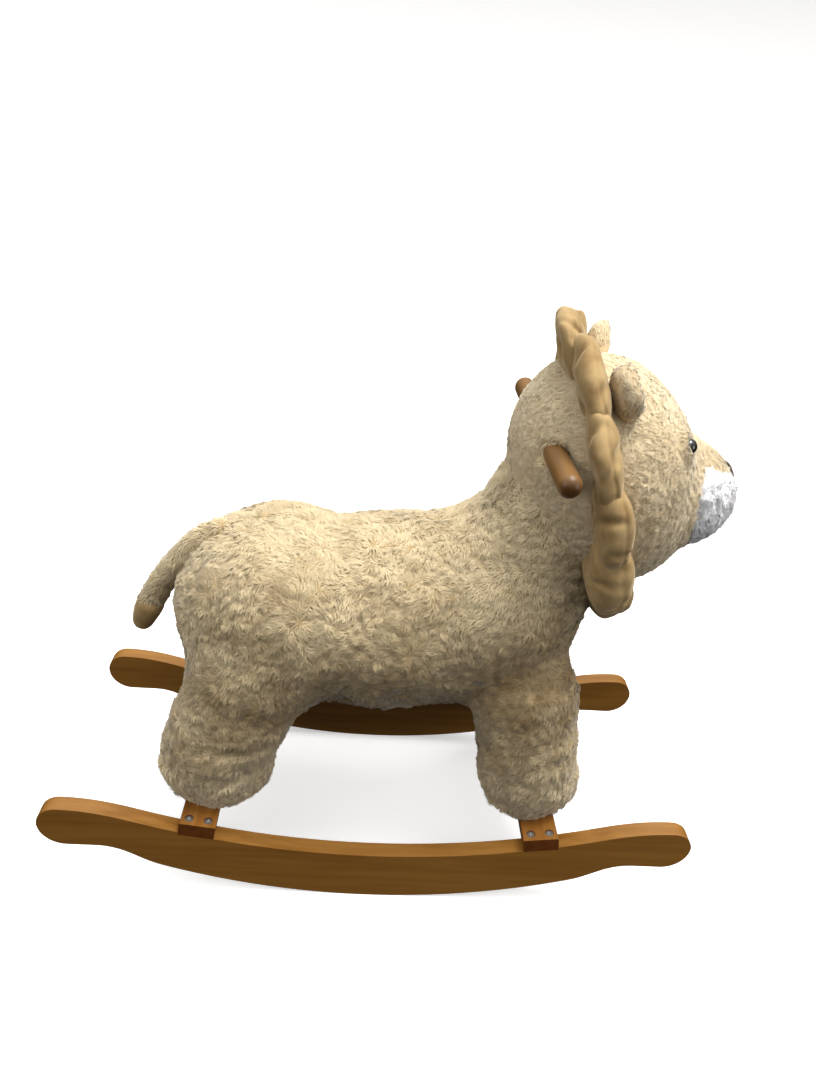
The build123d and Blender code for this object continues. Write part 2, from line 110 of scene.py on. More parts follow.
def formDistance(points, lumps, cuts=()):
    total = lumpDistance(points, lumps[0])
    for lump in lumps[1:]:
        other, blend = lumpDistance(points, lump), lump["blend"]
        share = np.clip(0.5 + 0.5 * (total - other) / blend, 0, 1)
        total = total * (1 - share) + other * share - blend * share * (1 - share)
    for cut in cuts:
        if "plane" in cut:
            other = (points - np.array(cut["at"])) @ unit(np.array([cut["plane"]], float))[0]
        else:
            other = -lumpDistance(points, cut)
        blend = cut["blend"]
        share = np.clip(0.5 - 0.5 * (total - other) / blend, 0, 1)
        total = total * (1 - share) + other * share + blend * share * (1 - share)
    return total


def formNormals(points, lumps, cuts=(), step=0.0008):
    slopes = []
    for n in range(3):
        shift = np.zeros(3)
        shift[n] = step
        ahead = formDistance(points + shift, lumps, cuts)
        slopes.append(ahead - formDistance(points - shift, lumps, cuts))
    return unit(np.stack(slopes, 1))


def meshFrom(name, points, faces):
    mesh = bpy.data.meshes.new(name)
    mesh.from_pydata(np.asarray(points).tolist(), [], [tuple(face) for face in faces])
    shell = bmesh.new()
    shell.from_mesh(mesh)
    bmesh.ops.recalc_face_normals(shell, faces=shell.faces)
    shell.to_mesh(mesh)
    shell.free()
    mesh.shade_smooth()
    piece = bpy.data.objects.new(name, mesh)
    bpy.context.scene.collection.objects.link(piece)
    return piece


def pointsOf(piece, kind="co"):
    points = np.zeros(len(piece.data.vertices) * 3, np.float32)
    piece.data.vertices.foreach_get(kind, points)
    return points.reshape(-1, 3).astype(float)


def setPoints(piece, points):
    piece.data.vertices.foreach_set("co", np.asarray(points, np.float32).ravel())
    piece.data.update()


def normalsOf(piece):
    return pointsOf(piece, "normal")


def applyModifiers(piece):
    ready = piece.evaluated_get(bpy.context.evaluated_depsgraph_get())
    mesh = bpy.data.meshes.new_from_object(ready)
    piece.modifiers.clear()
    piece.data = mesh
    mesh.name = piece.name
    return piece


def remeshed(piece, size):
    change = piece.modifiers.new("remesh", "REMESH")
    change.mode = "VOXEL"
    change.voxel_size = size
    change.use_smooth_shade = True
    return applyModifiers(piece)


mouldSettings = {
    "balls": 7, "coarse": 0.004, "pull": 0.8, "reach": 0.012, "coarseRounds": 10, "fineRounds": 6,
    "relaxEvery": 3, "relax": 0.5,
}


def startBalls(lump):
    # the ball, or the row of balls, that a lump starts from
    ball, at = ballPoints()[0], np.array(lump["at"])
    if "to" not in lump:
        return [(ball * np.array(lump["radii"])) @ tiltMatrix(lump.get("tilt", 0)) + at]
    first, last = lump["radii"]
    reach = np.array(lump["to"]) - at
    steps = np.linspace(0, 1, mouldSettings["balls"])
    return [ball * (first + s * (last - first)) + at + s * reach for s in steps]


def pullOnto(piece, lumps, cuts, rounds):
    # moves the points onto the smooth form, step by step
    reach, pull = mouldSettings["reach"], mouldSettings["pull"]
    for step in range(rounds):
        spots = pointsOf(piece)
        out = formDistance(spots, lumps, cuts)
        spots -= formNormals(spots, lumps, cuts) * np.clip(out, -reach, reach)[:, None] * pull
        setPoints(piece, spots)
        if (step + 1) % mouldSettings["relaxEvery"] == 0:
            relax(piece, mouldSettings["relax"])


def moulded(name, lumps, cuts, size):
    # balls along each lump are joined, remeshed, and pulled onto the smooth form
    points, faces, start, ballFaces = [], [], 0, ballPoints()[1]
    for lump in lumps:
        for ball in startBalls(lump):
            points.append(ball)
            faces += [tuple(v + start for v in face) for face in ballFaces]
            start += len(ball)
    piece = remeshed(meshFrom(name, np.concatenate(points), faces), max(size, mouldSettings["coarse"]))
    pullOnto(piece, lumps, cuts, mouldSettings["coarseRounds"])
    remeshed(piece, size)
    pullOnto(piece, lumps, cuts, mouldSettings["fineRounds"])
    return piece


def subdivide(piece):
    change = piece.modifiers.new("finer", "SUBSURF")
    change.levels = change.render_levels = 1
    applyModifiers(piece)


def relax(piece, amount):
    change = piece.modifiers.new("relax", "SMOOTH")
    change.factor = amount
    change.iterations = 2
    applyModifiers(piece)


def band(a, b, around):
    # the faces between two rings of points
    return [(a + s, b + s, b + (s + 1) % around, a + (s + 1) % around) for s in range(around)]


def ballPoints(rings=22, around=32):
    points = [(0, 0, 1)]
    for ring in range(1, rings):
        polar = math.pi * ring / rings
        for spoke in range(around):
            turn = 2 * math.pi * spoke / around
            wide = math.sin(polar)
            points.append((wide * math.cos(turn), wide * math.sin(turn), math.cos(polar)))
    points.append((0, 0, -1))
    faces = [(0, 1 + s, 1 + (s + 1) % around) for s in range(around)]
    for ring in range(rings - 2):
        faces += band(1 + ring * around, 1 + (ring + 1) * around, around)
    a, last = 1 + (rings - 2) * around, len(points) - 1
    faces += [(a + s, last, a + (s + 1) % around) for s in range(around)]
    return np.array(points, float), faces


def newMaterial(name, colour, roughness, **sockets):
    material = bpy.data.materials.new(name)
    material.use_nodes = True
    shader = material.node_tree.nodes["Principled BSDF"]
    shader.inputs["Base Color"].default_value = (*colour, 1)
    shader.inputs["Roughness"].default_value = roughness
    for socket, value in sockets.items():
        shader.inputs[socket.replace("_", " ")].default_value = value
    return material, material.node_tree, shader


def addNode(tree, kind, values=None, **settings):
    node = tree.nodes.new(kind)
    for key, value in settings.items():
        setattr(node, key, value)
    for key, value in (values or {}).items():
        node.inputs[key].default_value = value
    return node


def noiseNode(tree, scale, detail, stretch=(1, 1, 1), roughness=0.55):
    # noise fixed to the object, in metres, stretched along its axes
    coord = addNode(tree, "ShaderNodeTexCoord")
    mapping = addNode(tree, "ShaderNodeMapping", {"Scale": stretch})
    values = {"Scale": scale, "Detail": detail, "Roughness": roughness}
    noise = addNode(tree, "ShaderNodeTexNoise", values)
    tree.links.new(coord.outputs["Object"], mapping.inputs["Vector"])
    tree.links.new(mapping.outputs["Vector"], noise.inputs["Vector"])
    return noise


def rampNode(tree, source, stops):
    ramp = addNode(tree, "ShaderNodeValToRGB")
    while len(ramp.color_ramp.elements) < len(stops):
        ramp.color_ramp.elements.new(0.5)
    for element, (place, colour) in zip(ramp.color_ramp.elements, stops):
        element.position = place
        element.color = (*colour, 1)
    tree.links.new(source, ramp.inputs["Fac"])
    return ramp


def varyPolish(tree, shader, source, values):
    rough = addNode(tree, "ShaderNodeMapRange", values)
    tree.links.new(source, rough.inputs["Value"])
    tree.links.new(rough.outputs["Result"], shader.inputs["Roughness"])


def addBump(tree, shader, source, strength, distance):
    bump = addNode(tree, "ShaderNodeBump", {"Strength": strength, "Distance": distance})
    tree.links.new(source, bump.inputs["Height"])
    previous = shader.inputs["Normal"].links
    if previous:
        tree.links.new(previous[0].from_socket, bump.inputs["Normal"])
    tree.links.new(bump.outputs["Normal"], shader.inputs["Normal"])


def pileMaterial(name, colour, sheen=0.35):
    # plush pile: matt, with a soft sheen and fine fibre relief
    material, tree, shader = newMaterial(name, colour, 0.92, Sheen_Weight=sheen, Sheen_Roughness=0.45,
                                         Sheen_Tint=(1.0, 0.97, 0.92, 1), Specular_IOR_Level=0.12)
    addBump(tree, shader, noiseNode(tree, 900, 3).outputs["Fac"], 0.4, 0.0006)
    return material


woodSettings = {
    "rockerWood": {"light": (0.30, 0.140, 0.026), "dark": (0.19, 0.078, 0.012), "along": 0},
    "crossbarWood": {"light": (0.26, 0.110, 0.018), "dark": (0.14, 0.044, 0.007), "along": 1,
                     "paintedEndShade": (0.55, 0.40, 0.32)},
    "handleWood": {"light": (0.215, 0.112, 0.034), "dark": (0.14, 0.066, 0.019), "along": 1,
                   "paintedEndShade": (0.45, 0.36, 0.28)},
    "postWood": {"light": (0.62, 0.44, 0.26), "dark": (0.45, 0.28, 0.14), "along": 2},
    "plywood": {"light": (0.64, 0.46, 0.27), "dark": (0.48, 0.31, 0.16), "along": 0},
}


def woodMaterial(name):
    settings = woodSettings[name]
    material, tree, shader = newMaterial(name, settings["light"], 0.38, Coat_Weight=0.12,
                                         Specular_IOR_Level=0.35, Coat_Roughness=0.22)
    along, link = [1.0, 1.0, 1.0], tree.links.new
    along[settings["along"]] = 0.06
    grain = noiseNode(tree, 130, 6, along, 0.6)
    figure = noiseNode(tree, 22, 3, along, 0.5)
    pores = noiseNode(tree, 1500, 2, along, 0.5)
    mixed = addNode(tree, "ShaderNodeMath", {1: 0.55}, operation="MULTIPLY_ADD")
    link(grain.outputs["Fac"], mixed.inputs[0])
    half = addNode(tree, "ShaderNodeMath", {1: 0.45}, operation="MULTIPLY")
    link(figure.outputs["Fac"], half.inputs[0])
    link(half.outputs[0], mixed.inputs[2])
    light, dark = settings["light"], settings["dark"]
    middle = tuple(0.55 * a + 0.45 * b for a, b in zip(light, dark))
    ramp = rampNode(tree, mixed.outputs[0], [(0.33, dark), (0.48, middle), (0.62, light)])
    colour = ramp.outputs["Color"]
    if "paintedEndShade" in settings:
        # painted shade: the ends, the faces that point along Y, are made darker
        coord = addNode(tree, "ShaderNodeTexCoord")
        parts = addNode(tree, "ShaderNodeSeparateXYZ")
        facing = addNode(tree, "ShaderNodeMath", operation="ABSOLUTE")
        ends = rampNode(tree, facing.outputs[0], [(0.25, (1.0, 1.0, 1.0)), (0.9, settings["paintedEndShade"])])
        darker = addNode(tree, "ShaderNodeMix", {"Factor": 1.0}, data_type="RGBA", blend_type="MULTIPLY")
        link(coord.outputs["Normal"], parts.inputs["Vector"])
        link(parts.outputs["Y"], facing.inputs[0])
        link(colour, darker.inputs[6])
        link(ends.outputs["Color"], darker.inputs[7])
        colour = darker.outputs[2]
    link(colour, shader.inputs["Base Color"])
    polish = {"From Min": 0.3, "From Max": 0.7, "To Min": 0.32, "To Max": 0.5}
    varyPolish(tree, shader, grain.outputs["Fac"], polish)
    addBump(tree, shader, grain.outputs["Fac"], 0.12, 0.0005)
    addBump(tree, shader, pores.outputs["Fac"], 0.08, 0.0002)
    return material


def setMaterial(piece, *materials):
    piece.data.materials.clear()
    for material in materials:
        piece.data.materials.append(material)


def scatter(piece, spacing, seed):
    # roots spread evenly by area, one for each square of that spacing
    mesh, points, normals = piece.data, pointsOf(piece), normalsOf(piece)
    mesh.calc_loop_triangles()
    triangles = np.zeros((len(mesh.loop_triangles), 3), np.int32)
    mesh.loop_triangles.foreach_get("vertices", triangles.ravel())
    a, b, c = (points[triangles[:, n]] for n in range(3))
    areas = np.linalg.norm(np.cross(b - a, c - a), axis=1) / 2
    draw = np.random.default_rng(seed)
    count = int(areas.sum() / spacing**2)
    steps = (np.arange(count) + draw.random(count)) / count
    picks = np.searchsorted(np.cumsum(areas) / areas.sum(), steps).clip(0, len(areas) - 1)
    u, v = draw.random(count), draw.random(count)
    flip = u + v > 1
    u[flip], v[flip] = 1 - u[flip], 1 - v[flip]
    w = 1 - u - v
    roots = a[picks] * w[:, None] + b[picks] * u[:, None] + c[picks] * v[:, None]
    up = sum(normals[triangles[picks, n]] * s[:, None] for n, s in ((0, w), (1, u), (2, v)))
    return roots, unit(up), draw


def locksOf(roots, size, seed):
    # the nearest of scattered lock centres, one to each grid cell, and a number for that lock
    cell = np.floor(roots / size).astype(np.int64)
    best, centre, mark = np.full(len(roots), 1e9), np.zeros_like(roots), np.zeros(len(roots))
    for step in np.ndindex(3, 3, 3):
        spot = cell + np.array(step) - 1
        jitter = np.stack([scramble(spot, seed + n) for n in range(3)], 1)
        place = (spot + jitter) * size
        far = np.linalg.norm(place - roots, axis=1)
        near = far < best
        best[near], centre[near] = far[near], place[near]
        mark[near] = scramble(spot, seed + 7)[near]
    return centre, mark


def fluff(name, parent, settings, shades, keep=None, flow=(0.0, 0.0, -1.0), region=None):
    # tapered tufts that lie over each other and gather in locks; returns one piece for each region
    roots, up, draw = scatter(parent, settings["spacing"], settings["seed"])
    if keep is not None:
        kept = keep(roots, up)
        roots, up = roots[kept], up[kept]
    count = len(roots)
    lean = flow(roots, up) if callable(flow) else np.tile(np.array([flow]), (count, 1))
    seed, swirl, swirlSize = settings["seed"], settings["swirl"], settings["swirlSize"]
    lean = lean + noiseVectors(roots, swirlSize, seed + 11) * swirl
    lean = lean + noiseVectors(roots, swirlSize / 3.5, seed + 21) * swirl * 0.5
    lean = unit(lean - up * (lean * up).sum(1)[:, None])
    centre, mark = locksOf(roots, settings["lock"], seed + 31)
    toLock = centre - roots
    toLock -= up * (toLock * up).sum(1)[:, None]
    length = settings["length"] * (0.72 + 0.5 * draw.random(count))[:, None]
    lift = settings["lift"] * (0.6 + 0.8 * mark)[:, None]
    lift = lift * (0.8 + 0.4 * draw.random(count))[:, None]
    side = unit(np.cross(up, lean))
    stray = (draw.random((count, 2)) - 0.5) * settings["stray"]
    # the middle and the tip of each tuft, bent over and drawn towards the centre of its lock
    middle = roots + lean * length * 0.45 + up * lift * length + side * stray[:, :1] * length
    middle += toLock * settings["gather"] * 0.45
    tip = roots + lean * length * 0.95 + up * (lift * 0.75) * length
    tip += side * stray.sum(1)[:, None] * length + toLock * settings["gather"]
    wide = settings["width"] * (0.75 + 0.5 * draw.random(count))[:, None]
    sunk = roots - up * settings["sink"]
    rows = [
        sunk - side * wide / 2, sunk + side * wide / 2, sunk + up * wide * 0.5,
        middle - side * wide * 0.42, middle + side * wide * 0.42, middle + up * wide * 0.42,
        tip,
    ]
    points = np.stack(rows, 1)
    soft = settings["softness"]
    bend = unit(tip - roots)
    left, right = up * 0.6 - side * 0.8, up * 0.6 + side * 0.8
    own = [left, right, up, left, right, up - bend * 0.15, up + bend * 0.3]
    drift = noiseVectors(roots, settings["lock"] * 0.8, seed + 41) * 0.28
    normals = np.stack([unit(up * soft + one * (1 - soft) + drift) for one in own], 1)
    tuft = np.array([(0, 1, 4), (0, 4, 3), (1, 2, 5), (1, 5, 4), (2, 0, 3), (2, 3, 5), (3, 4, 6), (4, 5, 6),
                     (5, 3, 6), (0, 2, 1)])
    tone = 0.52 + 0.18 * (mark - 0.5) + 0.20 * softNoise(roots, settings["lock"] * 3.2, seed + 51)
    tone += 0.14 * (draw.random(count) - 0.5) + 0.14 * softNoise(roots, 0.07, seed + 61)
    # a tone setting adds painted light and shade to each tuft's tone
    paintedLightTone = settings.get("tone", 0)
    tone += paintedLightTone(roots, up) if callable(paintedLightTone) else paintedLightTone
    shade = np.clip((tone * len(shades)).astype(int), 0, len(shades) - 1)
    groups = region(roots) if region else np.zeros(count, int)
    made = []
    for group in np.unique(groups):
        chosen = groups == group
        part, total = points[chosen].reshape(-1, 3), int(chosen.sum())
        faces = (tuft[None] + 7 * np.arange(total)[:, None, None]).reshape(-1, 3)
        mesh = bpy.data.meshes.new(name)
        mesh.vertices.add(len(part))
        mesh.vertices.foreach_set("co", part.astype(np.float32).ravel())
        mesh.loops.add(len(faces) * 3)
        mesh.loops.foreach_set("vertex_index", faces.astype(np.int32).ravel())
        mesh.polygons.add(len(faces))
        mesh.polygons.foreach_set("loop_start", np.arange(0, len(faces) * 3, 3, dtype=np.int32))
        mesh.update(calc_edges=True)
        mesh.shade_smooth()
        bent = normals[chosen].reshape(-1, 3).astype(np.float32)
        mesh.normals_split_custom_set_from_vertices(bent)
        piece = bpy.data.objects.new(f"{name}{group + 1}" if region else name, mesh)
        bpy.context.scene.collection.objects.link(piece)
        setMaterial(piece, *shades)
        # after the materials, because clearing them sets every face back to the first
        picks = np.repeat(shade[chosen], len(tuft)).astype(np.int32)
        mesh.polygons.foreach_set("material_index", picks)
        piece.parent = parent
        made.append(piece)
    print(name, "tufts", count, "pieces", len(made))
    return made


def shadeSet(name, dark, light, count, sheen=0.45):
    # evenly stepped shades of one pile, from its roots' tone to its tips'
    shades = []
    for n in range(count):
        share = n / (count - 1)
        colour = tuple(a + (b - a) * share for a, b in zip(dark, light))
        shades.append(pileMaterial(f"{name}{n + 1}", colour, sheen))
    return shades


def ruffle(piece, settings, seed):
    # the pile's own clumps: ridges of locks and the dips between them
    points, normals = pointsOf(piece), normalsOf(piece)
    drifted = points + noiseVectors(points, 0.02, seed) * 0.003
    centre, mark = locksOf(drifted, settings["lock"], seed + 31)
    near = np.linalg.norm(points - centre, axis=1) / settings["lock"]
    rise = (0.35 - near) * settings["depth"] * 1.6 + (mark - 0.5) * settings["depth"] * 0.7
    rise += softNoise(points, 0.035, seed + 3) * settings["dimple"]
    setPoints(piece, points + normals * rise[:, None])


torsoLow, torsoMiddle = boxOf("torso")[0], sum(boxOf("torso")) / 2
neckLow = boxOf("neck")[0]
footZ = boxOf("leg_front_right")[0][2]

bodyForm = {
    "lumps": [
        {"at": (torsoLow[0] + 0.118, 0, torsoLow[2] + 0.107), "radii": (0.1185, 0.109, 0.1070)},
        {"at": (0.012, 0, torsoLow[2] + 0.107), "radii": (0.165, 0.102, 0.1065), "blend": 0.012},
        {"at": (0.050, 0, torsoLow[2] + 0.118), "radii": (0.085, 0.092, 0.1015), "blend": 0.014},
        {"at": (0.110, 0, torsoLow[2] + 0.128), "radii": (0.097, 0.104, 0.1085), "blend": 0.014},
        {"at": (0.158, 0, neckLow[2] + 0.046), "radii": (0.067, 0.085, 0.106), "blend": 0.024},
    ],
    "legBlend": 0.022,
    "mesh": 0.0028,
}
for side in (-1, 1):
    bodyForm["lumps"] += [
        {"at": (0.172, side * 0.066, footZ + 0.053), "to": (0.157, side * 0.060, 0.235),
         "radii": (0.0530, 0.054), "blend": bodyForm["legBlend"]},
        {"at": (0.181, side * 0.066, footZ + 0.036), "radii": (0.0495, 0.048, 0.041), "blend": 0.014},
        {"at": (-0.177, side * 0.066, footZ + 0.055), "to": (-0.138, side * 0.058, 0.240),
         "radii": (0.0565, 0.0625), "blend": bodyForm["legBlend"]},
        {"at": (-0.171, side * 0.066, footZ + 0.035), "radii": (0.0590, 0.050, 0.040), "blend": 0.014},
    ]

bodyPlush = moulded("bodyPlush", bodyForm["lumps"], (), bodyForm["mesh"])


bodySlack = {
    "seam": {"depth": 0.0028, "width": 0.0035, "front": 0.08},
    "folds": {"top": 0.225, "fade": 0.05, "waves": ((0.0013, 0.031, 0), (0.0008, 0.019, 1))},
    "wander": (0.008, 0.035), "patches": 0.045,
    "slack": ((0.0035, 0.06, 6), (0.0015, 0.025, 7)),
}


def shapeBody():
    points, normals = pointsOf(bodyPlush), normalsOf(bodyPlush)
    x, y, z = points.T
    # seam down the middle of the back
    seam, folds = bodySlack["seam"], bodySlack["folds"]
    rise = -seam["depth"] * np.exp(-(y / seam["width"]) ** 2) * (z > torsoMiddle[2]) * (x < seam["front"])
    # folds round the legs, where the stuffing gives
    leg = np.clip((folds["top"] - z) / folds["fade"], 0, 1)
    drift, driftSize = bodySlack["wander"]
    wave = z + drift * softNoise(points, driftSize, 5)
    patch = np.clip(0.5 + 1.2 * softNoise(points, bodySlack["patches"], 8), 0, 1)
    ripple = sum(high * np.sin(wave * 2 * math.pi / pitch + start) for high, pitch, start in folds["waves"])
    rise += leg * patch * ripple
    # the general slack of the cover
    rise += sum(high * softNoise(points, size, seed) for high, size, seed in bodySlack["slack"])
    setPoints(bodyPlush, points + normals * rise[:, None])


shapeBody()
ruffle(bodyPlush, {"lock": 0.0078, "depth": 0.0016, "dimple": 0.0012}, 101)
print("body skin", len(bodyPlush.data.vertices))


# painted light and shade for the body's fur, by height, facing and place
bodyPaintedLightTones = {
    "height": {"middle": 0.30, "span": 0.12, "gain": 0.26}, "facingUp": 0.12,
    "chest": -0.36, "rump": 0.18, "neck": 0.15, "feet": 0.66,
}


def bodyPaintedLight(roots, up):
    # painted light and shade: the back, up-facing tufts, the rump, the top of the neck and the feet are painted
    # lighter, and the chest and belly greyer and darker, for how light falls on them
    x, y, z = roots.T
    height = bodyPaintedLightTones["height"]
    tone = np.clip((z - height["middle"]) / height["span"], -1.2, 1) * height["gain"]
    tone += bodyPaintedLightTones["facingUp"] * up[:, 2]
    tone += bodyPaintedLightTones["chest"] * np.clip((x - 0.06) / 0.08, 0, 1) * np.exp(-((z - 0.29) / 0.05) ** 2)
    tone += bodyPaintedLightTones["rump"] * np.clip((-0.12 - x) / 0.08, 0, 1) * (z > 0.2)
    tone += bodyPaintedLightTones["neck"] * np.clip((x - 0.08) / 0.05, 0, 1) * (z > 0.38)
    return tone + bodyPaintedLightTones["feet"] * np.clip((0.23 - z) / 0.10, 0, 1)


bodyPile = {
    "spacing": 0.0014, "length": 0.0078, "width": 0.00095, "lift": 0.2, "lock": 0.0066, "gather": 0.36,
    "swirl": 1.35, "swirlSize": 0.032, "stray": 0.7, "sink": 0.0010, "softness": 0.86, "seed": 211,
    "tone": bodyPaintedLight,
}
bodyRoot = pileMaterial("bodyPlushBacking", (0.44, 0.33, 0.18))
# the body's tone setting picks among these steps, so their range also holds painted light and shade
bodyShades = shadeSet("bodyPile", (0.27, 0.175, 0.075), (0.73, 0.60, 0.38), 8)
setMaterial(bodyPlush, bodyRoot)


def bodyRegion(roots):
    x, y, z = roots.T
    # eight parts of the legs, twelve of the trunk and two of the neck
    leg = z < 0.2
    along = np.where(leg, (x > 0) + 2 * (z > 0.13), np.digitize(x, [-0.14, -0.07, 0.0, 0.07, 0.14]))
    group = np.where(leg, 12 + along * 2, along * 2) + (y > 0)
    return np.where((z > 0.37) & (x > 0.06), 20 + (y > 0), group)


crossbars = [boxOf("crossbar_front"), boxOf("crossbar_rear")]
handleAxis = sum(boxOf("handle_bar")) / 2


def insideHead(points):
    return formDistance(points, headForm["lumps"]) < -0.012


def keepBody(roots, up):
    kept = ~insideHead(roots)
    for low, high in crossbars:
        over = (roots[:, 0] > low[0]) & (roots[:, 0] < high[0])
        kept &= ~(over & (roots[:, 2] < high[2] - 0.004))
    return kept


headMiddle = sum(boxOf("head")) / 2
snoutAt = (boxOf("muzzle")[1][0] - 0.0551, 0, sum(boxOf("muzzle"))[2] / 2 + 0.007)
headForm = {
    "lumps": [
        {"at": (headMiddle[0], 0, headMiddle[2]), "radii": (0.0900, 0.1047, 0.1168), "tilt": 23},
        {"at": snoutAt, "radii": (0.0520, 0.0615, 0.0520), "tilt": -11.7, "blend": 0.02},
    ],
    "openings": [
        {"at": (handleAxis[0], side * 0.2, handleAxis[2]),
         "to": (handleAxis[0], side * 0.06, handleAxis[2]), "radii": (0.0118, 0.0118), "blend": 0.007}
        for side in (-1, 1)
    ],
    "mesh": 0.0024,
}
headPlush = moulded("headPlush", headForm["lumps"], headForm["openings"], headForm["mesh"])
ruffle(headPlush, {"lock": 0.006, "depth": 0.0008, "dimple": 0.0011}, 131)
headPile = {
    "spacing": 0.00125, "length": 0.0050, "width": 0.00095, "lift": 0.2, "lock": 0.0045, "gather": 0.3,
    "swirl": 0.9, "swirlSize": 0.028, "stray": 0.6, "sink": 0.0008, "softness": 0.86, "seed": 311,
}
headShades = shadeSet("headPile", (0.64, 0.50, 0.30), (0.86, 0.73, 0.50), 5)
setMaterial(headPlush, pileMaterial("headPlushBacking", (0.68, 0.53, 0.32)))
eyeSpots = [sum(boxOf(f"eye_{side}")) / 2 for side in ("left", "right")]


eyeBed = {
    "rise": 0.0022, "riseBehind": 0.0042, "span": 0.016, "radius": 0.0100, "width": 0.0055,
    "bare": 0.0068,
}


def bedEyes():
    # the cover swells round each eye where the stem pulls it in
    points, normals = pointsOf(headPlush), normalsOf(headPlush)
    for spot in eyeSpots:
        far = np.linalg.norm(points - spot, axis=1)
        behind = np.clip(0.5 + (spot[0] - points[:, 0]) / eyeBed["span"], 0, 1)
        swell = eyeBed["rise"] + eyeBed["riseBehind"] * behind
        ring = np.exp(-((far - eyeBed["radius"]) / eyeBed["width"]) ** 2)
        points += normals * (swell * ring)[:, None]
    setPoints(headPlush, points)


bedEyes()


def onMuzzle(points, margin):
    return formDistance(points, muzzleForm["lumps"], muzzleForm["cuts"]) < margin


def keepHead(roots, up):
    fromHandle = np.hypot(roots[:, 0] - handleAxis[0], roots[:, 2] - handleAxis[2])
    kept = (fromHandle > 0.0122) & ~onMuzzle(roots, 0.0005)
    for spot in eyeSpots:
        kept &= np.linalg.norm(roots - spot, axis=1) > eyeBed["bare"]
    return kept & (formDistance(roots, bodyForm["lumps"]) > -0.012)


def headFlow(roots, up):
    away = roots - np.array([0.34, 0, 0.50])
    return unit(away) + np.array([0, 0, -0.35])


muzzleForm = {
    "lumps": [{"at": snoutAt, "radii": (0.0538, 0.0640, 0.0538), "tilt": -11.7}],
    "cuts": [
        {"at": (0.2795, 0, 0.46), "plane": (-1, 0, 0.05), "blend": 0.005},
        {"at": (0.281, 0, 0.5065), "plane": (0.375, 0, 0.927), "blend": 0.005},
    ],
    "mesh": 0.0022,
}
muzzlePlush = moulded("muzzlePlush", muzzleForm["lumps"], muzzleForm["cuts"], muzzleForm["mesh"])
ruffle(muzzlePlush, {"lock": 0.0055, "depth": 0.0012, "dimple": 0.0012}, 151)
muzzlePile = {
    "spacing": 0.0011, "length": 0.0058, "width": 0.0010, "lift": 0.26, "lock": 0.0048, "gather": 0.5,
    "swirl": 1.7, "swirlSize": 0.018, "stray": 0.7, "sink": 0.001, "softness": 0.74, "seed": 411,
}
muzzleShades = shadeSet("muzzlePile", (0.84, 0.85, 0.89), (0.99, 0.99, 1.0), 4, 0.3)
setMaterial(muzzlePlush, pileMaterial("muzzleBacking", (0.93, 0.94, 0.98), 0.3))

for piece, slot, nodes, fill in (
    (bodyPlush, "body_plush", ["torso", "neck", "leg_front_left", "leg_front_right",
                               "leg_rear_left", "leg_rear_right"], 0.85),
    (headPlush, "head_plush", ["head", "snout_bridge"], 0.9),
    (muzzlePlush, "white_plush", ["muzzle"], 0.85),
):
    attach(piece, "rocker_frame")
    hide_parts(*nodes)

for piece in fluff("bodyFluff", bodyPlush, bodyPile, bodyShades, keepBody, (-0.35, 0.0, -0.55),
                   bodyRegion):
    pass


def headRegion(roots):
    return (roots[:, 1] > 0) + 2 * (roots[:, 0] > 0.205)


for piece in fluff("headFluff", headPlush, headPile, headShades, keepHead, headFlow, headRegion):
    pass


def keepMuzzle(roots, up):
    return formDistance(roots, muzzleForm["lumps"]) > -0.004


for piece in fluff("muzzleFluff", muzzlePlush, muzzlePile, muzzleShades, keepMuzzle,
                   (-0.3, 0.0, -0.4)):
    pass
print("plush covers done")

maneForm = {
    "tilt": 17, "halfWidth": 0.0455, "halfLength": 0.0345, "count": 12, "ring": (0.105, 0.134),
    "lean": 0.003, "farLean": 0.012, "twist": -5, "twistSpread": 10, "weave": 0.0018,
    "seam": 0.22, "gathers": 13, "folds": 2, "foldDepth": (0.07, 0.15), "foldWidth": (0.09, 0.16),
    "dents": 3, "dentDepth": (0.14, 0.26), "dentReach": (0.009, 0.014), "bend": 0.058,
}
maneTilt = math.radians(maneForm["tilt"])
maneForward = np.array([math.cos(maneTilt), 0, math.sin(maneTilt)])
maneUp = np.array([-math.sin(maneTilt), 0, math.cos(maneTilt)])
maneSide = np.array([0.0, 1.0, 0.0])
maneCentre = np.array([0.196, 0, 0.470])


def velboaMaterial(name, light, dark):
    # short smooth pile; its lighter and darker patches in the colour are painted sheen of the nap
    material, tree, shader = newMaterial(name, light, 0.8, Sheen_Weight=0.55, Sheen_Roughness=0.35,
                                         Sheen_Tint=(1.0, 0.86, 0.62, 1), Specular_IOR_Level=0.15)
    patches = noiseNode(tree, 38, 3)
    ramp = rampNode(tree, patches.outputs["Fac"], [(0.36, dark), (0.6, light)])
    tree.links.new(ramp.outputs["Color"], shader.inputs["Base Color"])
    addBump(tree, shader, noiseNode(tree, 160, 3).outputs["Fac"], 0.25, 0.0012)
    addBump(tree, shader, noiseNode(tree, 1400, 2).outputs["Fac"], 0.25, 0.0004)
    return material


tanVelboa = velboaMaterial("tanVelboa", (0.40, 0.28, 0.132), (0.29, 0.187, 0.08))


def ringPlace(turn, reach=0.0):
    # a point on the oval that the petals are sewn along, moved outwards by reach
    half = np.array(maneForm["ring"]) + reach
    return maneCentre + maneSide * half[0] * math.sin(turn) + maneUp * half[1] * math.cos(turn)


